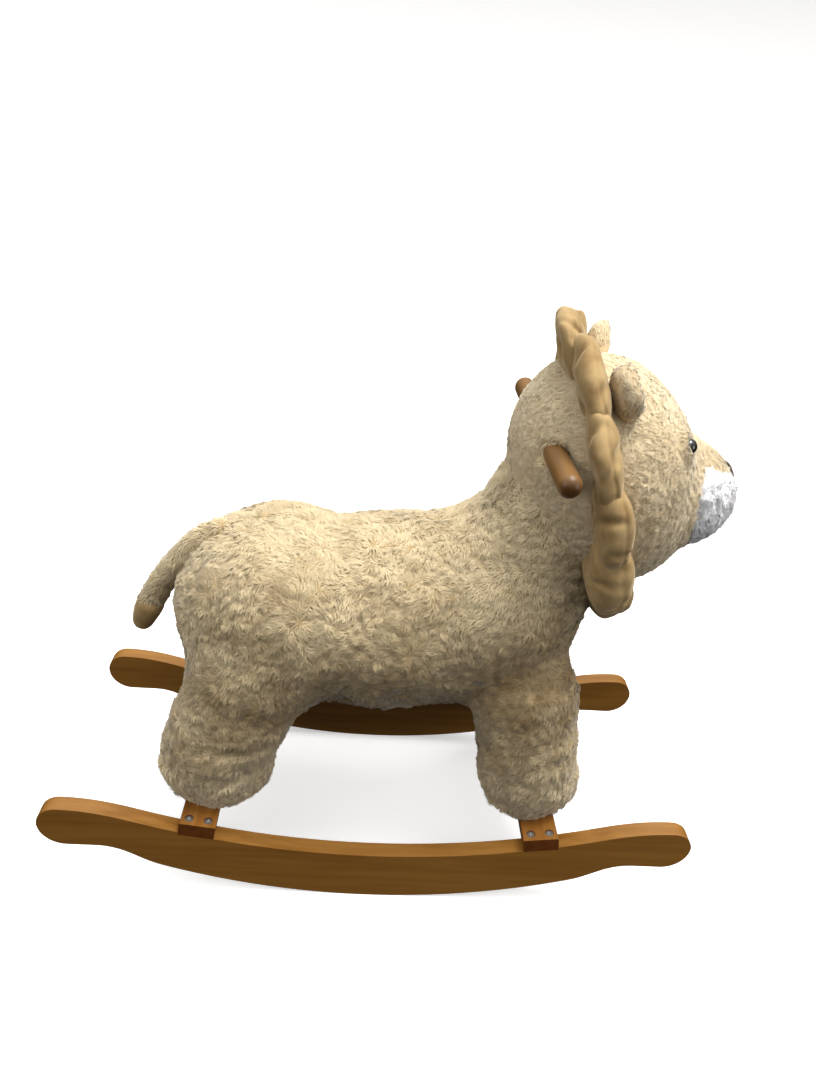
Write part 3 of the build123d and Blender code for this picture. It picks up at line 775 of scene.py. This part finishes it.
def stuffedPetal(name, number):
    count = maneForm["count"]
    even = 2 * math.pi * number / count
    turn = even + maneForm["bend"] * math.sin(2 * even)
    # 0 at the top of the ring, 1 under the chin
    spread = abs((even + math.pi) % (2 * math.pi) - math.pi) / math.pi
    draw = np.random.default_rng(540 + number)
    low = np.clip((spread - 0.38) / 0.2, 0, 1)
    thick = 0.0135 + 0.0085 * low - 0.004 * np.clip((spread - 0.85) / 0.15, 0, 1)
    balls, faces = ballPoints(48, 72)
    out, across, fore = balls[:, 2], balls[:, 0], balls[:, 1]
    angle = np.arctan2(across, out)
    rim = np.exp(-((fore - maneForm["seam"]) / 0.16) ** 2)
    width = maneForm["halfWidth"] * (0.97 + 0.08 * draw.random()) * (1 - 0.12 * np.clip(-out, 0, 1))
    u = np.sign(across) * np.abs(across) ** 0.82 * width
    shorter = 1 - 0.2 * np.clip((spread - 0.75) / 0.25, 0, 1)
    v = np.sign(out) * np.abs(out) ** 0.78 * maneForm["halfLength"] * shorter
    w = np.sign(fore) * np.abs(fore) ** 0.85 * thick
    # the seam round the rim, with the small gathers that run in from it
    gather = np.sin(angle * maneForm["gathers"] + number) * np.exp(-((fore - maneForm["seam"]) / 0.4) ** 2)
    gather = gather * np.clip(1.2 - np.abs(out), 0, 1)
    local = np.stack([u, v, w], 1)
    local *= (1 - 0.045 * rim + 0.02 * gather)[:, None]
    # folds that run over the rim, deepest at one end
    for fold in range(maneForm["folds"]):
        where = (fold - 0.5) * 0.9 + draw.uniform(-0.25, 0.25)
        bent = angle - where - draw.uniform(-0.5, 0.5) * fore
        deep = draw.uniform(*maneForm["foldDepth"]) * np.clip(0.55 - fore * (1 if fold else -1), 0.1, 1.2)
        local *= (1 - deep * np.exp(-(bent / draw.uniform(*maneForm["foldWidth"])) ** 2) * (out > 0))[:, None]
    # hollows where the stuffing gives, on the back and at the edges
    for dent in range(maneForm["dents"]):
        side = 1 if dent % 2 else -1
        aside = side * width.max() * draw.uniform(0.35, 0.75)
        outwards = maneForm["halfLength"] * draw.uniform(-0.3, 0.55)
        spot = np.array([aside, outwards, -thick * draw.uniform(0.3, 0.9)])
        reach = draw.uniform(*maneForm["dentReach"])
        near = np.exp(-(np.linalg.norm(local - spot, axis=1) / reach) ** 2)
        local *= (1 - draw.uniform(*maneForm["dentDepth"]) * near)[:, None]
    seed = 600 + number * 5
    local += noiseVectors(local + number, 0.028, seed) * np.array([0.003, 0.003, 0.0035])
    local += noiseVectors(local + number, 0.011, seed + 3) * 0.0008
    lean = maneForm["lean"] if number > count / 2 or number == 0 else -maneForm["farLean"]
    local[:, 2] -= lean * (1 - low) * (0.5 + 0.5 * np.clip(local[:, 1] / maneForm["halfLength"], -1, 1))
    outward = math.atan2(maneForm["ring"][1] * math.sin(turn), maneForm["ring"][0] * math.cos(turn))
    rotation = outward + math.radians(8 * (draw.random() - 0.5))
    twist = math.radians(maneForm["twist"] + maneForm["twistSpread"] * (draw.random() - 0.5))
    rise = maneSide * math.sin(rotation) + maneUp * math.cos(rotation)
    wide = maneSide * math.cos(rotation) - maneUp * math.sin(rotation)
    face = maneForward * math.cos(twist) + wide * math.sin(twist)
    wide = wide * math.cos(twist) - maneForward * math.sin(twist)
    under = np.clip((spread - 0.6) / 0.3, 0, 1)
    weave = maneForm["weave"] if number % 2 else -maneForm["weave"]
    centre = ringPlace(turn, -0.016 * under) + maneForward * (0.0125 - thick + weave)
    points = centre + local[:, :1] * wide + local[:, 1:2] * rise + local[:, 2:] * face
    petal = meshFrom(name, points, faces)
    subdivide(petal)
    setMaterial(petal, tanVelboa)
    return petal


for number in range(maneForm["count"]):
    node = f"mane_petal_{number + 1:02d}"
    petal = stuffedPetal(f"manePetal{number + 1:02d}", number)
    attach(petal, "rocker_frame")
    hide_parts(node)
print("mane done")

earForm = {
    "halfWidth": 0.0225, "rise": 0.007, "height": 0.0250, "thick": 0.0130, "leanLeft": 0.30,
    "cup": {"depth": 0.011, "halfWidth": 0.012, "halfHeight": 0.013, "middle": 0.012},
    "folds": 15, "foldDepth": 0.0011, "liningAndShade": (0.012, 0.013, 0.010),
}
earPile = dict(headPile, spacing=0.0017, length=0.006, seed=711, lock=0.005)
# the ear's inner face: partly its own darker lining fabric, partly painted shade inside the cup
earLiningAndShade = pileMaterial("earLiningAndShade", (0.62, 0.44, 0.24), 0.3)


def stuffedEar(name, side):
    joint = joints[f"ear_{side}_fold"]
    origin, axis = np.array(joint["pos_m"]), np.array(joint["axis"])
    up = np.cross(maneForward, axis)
    if up[2] < 0:
        up = -up
    across = np.cross(up, maneForward)
    balls, faces = ballPoints(36, 48)
    out, wide, fore = balls[:, 2], balls[:, 0], balls[:, 1]
    v = earForm["rise"] + np.sign(out) * np.abs(out) ** 0.9 * earForm["height"]
    u = np.sign(wide) * np.abs(wide) ** 0.9 * earForm["halfWidth"]
    w = np.sign(fore) * np.abs(fore) ** 0.85 * earForm["thick"]
    # cupped front, with folds that fan out from the root
    turn = np.arctan2(u, v + 0.012)
    front = np.clip(fore, 0, 1)
    reach = np.clip((v + 0.004) / 0.036, 0, 1)
    cup = earForm["cup"]
    fromCup = (u / cup["halfWidth"]) ** 2 + ((v - cup["middle"]) / cup["halfHeight"]) ** 2
    w -= front * cup["depth"] * np.exp(-fromCup)
    w += front * earForm["foldDepth"] * np.cos(turn * earForm["folds"]) * reach * (1 - reach) * 4
    if side == "left":
        w += earForm["leanLeft"] * np.clip(v + 0.012, 0, 1)
    points = origin + across * u[:, None] + up * (v - 0.004)[:, None]
    points += maneForward * (w - 0.0025)[:, None]
    points += noiseVectors(points, 0.012, 730) * 0.0007
    ear = meshFrom(name, points, faces)
    subdivide(ear)
    setMaterial(ear, pileMaterial(name + "Backing", (0.68, 0.53, 0.32)), earLiningAndShade)
    spots = pointsOf(ear)
    inner = np.zeros(len(ear.data.polygons), np.int32)
    # faces inside this oval on the cupped front take the lining colour, which also holds painted shade
    liningWide, liningHigh, liningAt = earForm["liningAndShade"]
    for face in ear.data.polygons:
        spot = np.mean(spots[list(face.vertices)], 0) - origin
        within = math.hypot(spot @ across / liningWide, (spot @ up - liningAt) / liningHigh) < 1
        inner[face.index] = within and spot @ maneForward > -0.001
    ear.data.polygons.foreach_set("material_index", inner)
    return ear, origin, up, across


for side in ("left", "right"):
    ear, origin, up, across = stuffedEar("ear" + side.capitalize(), side)
    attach(ear, f"ear_{side}")
    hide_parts(f"ear_{side}")

    def keepEar(roots, normals, origin=origin, up=up, across=across):
        local = roots - origin
        inner = np.hypot(local @ across / 0.011, (local @ up - 0.010) / 0.012) < 1
        return ~(inner & (local @ maneForward > -0.001)) & (local @ up > -0.004)

    for piece in fluff(f"ear{side.capitalize()}Fluff", ear, earPile, headShades, keepEar, up):
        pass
print("ears done")

tailRoot = np.array(joints["tail_lift"]["pos_m"])
tailForm = {
    "line": [tuple(tailRoot), (-0.229, 0, 0.327), (-0.262, 0, 0.262)], "radius": 0.0140, "tip": 0.024,
    "pileRoom": 0.0006, "rootThinner": 0.3, "rootReach": 0.013,
}


def tailLine():
    # the tail's middle line: the round arc through its root, bend and end
    (ax, az), (bx, bz), (cx, cz) = ((p[0], p[2]) for p in tailForm["line"])
    squares = [x * x + z * z for x, z in ((ax, az), (bx, bz), (cx, cz))]
    cross = 2 * (ax * (bz - cz) + bx * (cz - az) + cx * (az - bz))
    centre = np.array([
        (squares[0] * (bz - cz) + squares[1] * (cz - az) + squares[2] * (az - bz)) / cross,
        (squares[0] * (cx - bx) + squares[1] * (ax - cx) + squares[2] * (bx - ax)) / cross,
    ])
    radius = math.hypot(ax - centre[0], az - centre[1])
    turns = [math.atan2(z - centre[1], x - centre[0]) for x, z in ((ax, az), (cx, cz))]
    if abs(turns[1] - turns[0]) > math.pi:
        turns[1] += 2 * math.pi if turns[1] < turns[0] else -2 * math.pi
    return np.array([(centre[0] + radius * math.cos(t), 0, centre[1] + radius * math.sin(t))
                     for t in np.linspace(*turns, 120)])


def tube(name, line, radii):
    # a closed tube with round ends along a line in the XZ plane
    around, cap = 28, 6
    ahead = unit(np.gradient(line, axis=0))
    sideways = np.array([0.0, 1.0, 0.0])
    turns = [math.pi / 2 * n / cap for n in range(1, cap + 1)]

    def capRings(end, way):
        # from the rim at that end of the line out to its pole
        out = way * ahead[end] * radii[end] * 0.999
        return [(line[end] + out * math.sin(t), radii[end] * math.cos(t), ahead[end]) for t in turns]

    rings = capRings(0, -1)[::-1] + list(zip(line, radii, ahead)) + capRings(-1, 1)
    points, faces = [], []
    for place, radius, direction in rings[1:-1]:
        over = np.cross(sideways, direction)
        for spoke in range(around):
            turn = 2 * math.pi * spoke / around
            points.append(place + radius * (math.cos(turn) * sideways + math.sin(turn) * over))
    for ring in range(len(rings) - 3):
        a, b = ring * around, (ring + 1) * around
        faces += [(a + s, a + (s + 1) % around, b + (s + 1) % around, b + s) for s in range(around)]
    points += [rings[0][0], rings[-1][0]]
    first, last, final = len(points) - 2, len(points) - 1, (len(rings) - 3) * around
    faces += [(first, (s + 1) % around, s) for s in range(around)]
    faces += [(last, final + s, final + (s + 1) % around) for s in range(around)]
    return meshFrom(name, points, faces)


line = tailLine()
steps = np.concatenate([[0], np.cumsum(np.linalg.norm(np.diff(line, axis=0), axis=1))])
split = steps[-1] - tailForm["tip"]
fine = np.linspace(0, steps[-1], 90)
line = np.stack([np.interp(fine, steps, line[:, n]) for n in range(3)], 1)
body = line[fine <= split + 0.004]
tip = line[fine >= split]
fromRoot = np.linalg.norm(body - body[0], axis=1)
thinner = tailForm["rootThinner"] * np.exp(-(fromRoot / tailForm["rootReach"]) ** 2)
tailRadii = (tailForm["radius"] - tailForm["pileRoom"]) * (1 - thinner)
tailPlush = tube("tailPlush", body, tailRadii)
tipRadii = tailForm["radius"] + 0.0005 - 0.0025 * np.linspace(0, 1, len(tip)) ** 2
tailTip = tube("tailTip", tip, tipRadii)
ruffle(tailPlush, {"lock": 0.007, "depth": 0.0007, "dimple": 0.0008}, 171)
ruffle(tailTip, {"lock": 0.012, "depth": 0.0003, "dimple": 0.0010}, 181)
setMaterial(tailPlush, bodyRoot)
setMaterial(tailTip, tanVelboa)


for piece, node, slot in ((tailPlush, "tail", "body_plush"), (tailTip, "tail_tip", "tan_velboa")):
    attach(piece, "tail")
    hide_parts(node)
# the lightest shades all along, as painted light on the tail's shaded side
tailPile = dict(bodyPile, spacing=0.0016, length=0.0080, lift=0.16, swirl=0.7, seed=821, tone=0.5)


def keepTail(roots, up):
    outside = formDistance(roots, bodyForm["lumps"]) > -0.003
    return outside & (np.linalg.norm(roots - tip[0], axis=1) > 0.0135)


tailFlow = unit(line[-1:] - line[:1])[0]
for piece in fluff("tailFluff", tailPlush, tailPile, bodyShades, keepTail, tailFlow):
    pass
print("tail done")

eyeBlack, eyeTree, eyeShader = newMaterial("eyeBlack", (0.006, 0.005, 0.005), 0.08, Coat_Weight=0.6,
                                           Coat_Roughness=0.03)
addBump(eyeTree, eyeShader, noiseNode(eyeTree, 700, 2).outputs["Fac"], 0.02, 0.0002)

threadBrown, threadTree, threadShader = newMaterial("satinThread", (0.075, 0.032, 0.014), 0.42,
                                                    Sheen_Weight=0.4)
strands = noiseNode(threadTree, 2600, 2, (1, 0.15, 1))
addBump(threadTree, threadShader, strands.outputs["Fac"], 0.5, 0.0003)


def onSnout(y, z):
    # the point of the muzzle's front face at that side place and height
    low, high = snoutAt[0], snoutAt[0] + 0.09
    for step in range(26):
        middle = (low + high) / 2
        inside = formDistance(np.array([[middle, y, z]]), muzzleForm["lumps"])[0] < 0
        low, high = (middle, high) if inside else (low, middle)
    return np.array([low, y, z])


def stitched(name, runs, node):
    # a mesh of closed bowed threads, laid side by side
    points, faces, around = [], [], 7
    for start, end, radius in runs:
        spots = []
        for s in np.linspace(0, 1, 9):
            spot = onSnout(*(np.array(start) + (np.array(end) - np.array(start)) * s))
            spots.append(spot + np.array([0.0003 + 0.0028 * math.sin(math.pi * s) ** 0.6, 0, 0]))
        spots = np.array(spots)
        ahead = unit(np.gradient(spots, axis=0))
        base = len(points)
        for n, (spot, direction) in enumerate(zip(spots, ahead)):
            over = unit(np.cross(direction, [1.0, 0, 0])[None])[0]
            outer = np.cross(over, direction)
            size = radius * (0.3 if n in (0, 8) else 1)
            points += [spot + size * (math.cos(a) * over + math.sin(a) * outer)
                       for a in np.linspace(0, 2 * math.pi, around, endpoint=False)]
        for n in range(8):
            faces += band(base + n * around, base + (n + 1) * around, around)
        faces.append(tuple(base + k for k in range(around)))
        faces.append(tuple(base + 8 * around + k for k in reversed(range(around))))
    piece = meshFrom(name, points, faces)
    setMaterial(piece, threadBrown)
    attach(piece, "rocker_frame")
    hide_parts(node)
    return piece


noseLow, noseHigh = boxOf("nose")
noseRuns = []
for z in np.arange(noseLow[2] + 0.001, noseHigh[2], 0.00115):
    share = (z - noseLow[2]) / (noseHigh[2] - noseLow[2])
    half = (noseHigh[1] - noseLow[1]) / 2 * math.sqrt(max(0.02, 1 - (1 - share) ** 2.2))
    half *= 1 - 0.25 * share**6
    noseRuns.append(((-half, z), (half, z), 0.00075))
stitched("noseStitches", noseRuns, "nose")
mouthForm = {"pitch": 0.0035, "stitch": 0.0045, "slant": 0.0007, "thread": 0.0008, "halfWidth": 0.019,
             "dip": 0.0075, "rise": 0.004}
mouthZ, mouthRuns = boxOf("mouth_stitches")[0][2] + 0.0085, []
for n in range(4):
    top, slant = noseLow[2] - 0.001 - n * mouthForm["pitch"], mouthForm["slant"]
    mouthRuns.append(((-slant, top), (slant, top - mouthForm["stitch"]), mouthForm["thread"]))
for way in (-1, 1):
    steps = np.linspace(0, 1, 7)
    heights = [mouthZ - mouthForm["dip"] * math.sin(math.pi * t) + mouthForm["rise"] * t for t in steps]
    path = [(way * (0.001 + mouthForm["halfWidth"] * t), z) for t, z in zip(steps, heights)]
    mouthRuns += [(a, b, mouthForm["thread"]) for a, b in zip(path, path[1:])]
stitched("mouthStitches", mouthRuns, "mouth_stitches")
print("face done")

steel, steelTree, steelShader = newMaterial("zincSteel", (0.70, 0.70, 0.72), 0.28, Metallic=1.0)
scratches = noiseNode(steelTree, 900, 3, (1, 0.2, 1))
varyPolish(steelTree, steelShader, scratches.outputs["Fac"], {"To Min": 0.2, "To Max": 0.42})
addBump(steelTree, steelShader, scratches.outputs["Fac"], 0.1, 0.0002)
nylon, nylonTree, nylonShader = newMaterial("nylonWasher", (0.82, 0.82, 0.80), 0.5)
addBump(nylonTree, nylonShader, noiseNode(nylonTree, 600, 2).outputs["Fac"], 0.1, 0.0002)
woods = {name: woodMaterial(name) for name in woodSettings}
finishes = {
    "rocker_wood": woods["rockerWood"], "crossbar_wood": woods["crossbarWood"],
    "frame_wood": woods["postWood"], "plywood": woods["plywood"], "handle_wood": woods["handleWood"],
    "steel": steel, "black_plastic": eyeBlack, "washer_plastic": nylon,
}
slotOf = {part["node"]: part["material_slot"] for part in frame["record"]["subparts"]}
for node, piece in frame["nodes"].items():
    if slotOf[node] in finishes:
        setMaterial(piece, finishes[slotOf[node]])

foamLow, foamHigh = boxOf("seat_foam")


def foamPad():
    # a block with round corners and a slightly crowned top
    balls, faces = ballPoints(30, 48)
    half, middle = (foamHigh - foamLow) / 2, (foamHigh + foamLow) / 2
    block = np.sign(balls) * np.abs(balls) ** 0.28
    block /= np.abs(block).max(0)
    points = middle + block * half * np.array([0.995, 0.995, 0.99])
    pad = meshFrom("seatFoam", points, faces)
    material, tree, shader = newMaterial("openFoam", (0.80, 0.74, 0.52), 0.95)
    addBump(tree, shader, noiseNode(tree, 1200, 3).outputs["Fac"], 0.6, 0.0006)
    setMaterial(pad, material)
    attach(pad, "rocker_frame")
    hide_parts("seat_foam")


foamPad()
print("frame finishes done")

studio = {
    "floor": (0.9, 0.9, 0.9), "glow": 0.45, "floorSize": 5.0, "wallRise": 4.0,
    "dome": 1.6, "ground": 0.02,
    "key": {"at": (0.75, 0.0, 3.0), "size": 1.5, "power": 86, "colour": (1.0, 0.98, 0.95)},
    "rear": {"at": (-1.6, -1.0, 1.25), "size": 1.0, "power": 8, "colour": (1.0, 0.99, 0.97)},
    "front": {"at": (1.7, -1.0, 0.75), "size": 1.0, "power": 8, "colour": (1.0, 0.99, 0.97)},
    "cameraAt": (-0.03236, -0.7478, 0.79284), "cameraTurn": (60.774, -4.77, -1.277), "lens": 27.04,
}


def softLight(name):
    settings = studio[name]
    data = bpy.data.lights.new(name, "AREA")
    data.shape = "DISK"
    data.size = settings["size"]
    data.energy = settings["power"]
    data.color = settings["colour"]
    lamp = bpy.data.objects.new(name, data)
    lamp.location = settings["at"]
    away = Vector((0, 0, 0.3)) - lamp.location
    lamp.rotation_euler = away.to_track_quat("-Z", "Y").to_euler()
    bpy.context.scene.collection.objects.link(lamp)


def studioSweep():
    # a pale floor that curves up into a round wall, so that no edge shows behind the object
    points, faces, around = [(0, 0, 0)], [], 96
    profile = [(0.6, 0), (1.5, 0), (3, 0), (studio["floorSize"], 0)]
    edge, bend = studio["floorSize"], studio["wallRise"] * 0.6
    turns = np.linspace(0.1, math.pi / 2, 14)
    profile += [(edge + bend * math.sin(a), bend * (1 - math.cos(a))) for a in turns]
    profile.append((edge + bend, studio["wallRise"]))
    turns = np.linspace(0, 2 * math.pi, around, endpoint=False)
    for radius, height in profile:
        points += [(radius * math.cos(a), radius * math.sin(a), height) for a in turns]
    faces += [(0, 1 + n, 1 + (n + 1) % around) for n in range(around)]
    for ring in range(len(profile) - 1):
        faces += band(1 + ring * around, 1 + (ring + 1) * around, around)
    sweep = meshFrom("studioSweep", points, faces)
    setMaterial(sweep, newMaterial("paleFloor", studio["floor"], 0.9, Specular_IOR_Level=0.1,
                                   Emission_Color=(1, 1, 1, 1), Emission_Strength=studio["glow"])[0])
    sweep.visible_diffuse = sweep.visible_glossy = sweep.visible_shadow = False


def studioDome():
    # soft even light from above, and little from below
    world = bpy.data.worlds.new("studioDome")
    world.use_nodes = True
    tree = world.node_tree
    background = tree.nodes["Background"]
    coord = addNode(tree, "ShaderNodeTexCoord")
    parts = addNode(tree, "ShaderNodeSeparateXYZ")
    height = addNode(tree, "ShaderNodeMapRange", {"From Min": 0.12, "From Max": 1.0})
    stops = [(0, (studio["ground"],) * 3), (1, (1.0, 0.985, 0.96))]
    ramp = rampNode(tree, height.outputs["Result"], stops)
    tree.links.new(coord.outputs["Generated"], parts.inputs["Vector"])
    tree.links.new(parts.outputs["Z"], height.inputs["Value"])
    tree.links.new(ramp.outputs["Color"], background.inputs["Color"])
    background.inputs["Strength"].default_value = studio["dome"]
    bpy.context.scene.world = world


studioSweep()
softLight("key")
softLight("front")
softLight("rear")
studioDome()
scene = bpy.context.scene
scene.view_settings.view_transform = "Standard"

lens = bpy.data.cameras.new("camera")
lens.lens = studio["lens"]
lens.sensor_width = 36
lens.clip_start = 0.01
camera = bpy.data.objects.new("camera", lens)
camera.location = studio["cameraAt"]
camera.rotation_euler = [math.radians(v) for v in studio["cameraTurn"]]
scene.collection.objects.link(camera)
scene.camera = camera
print("studio done")
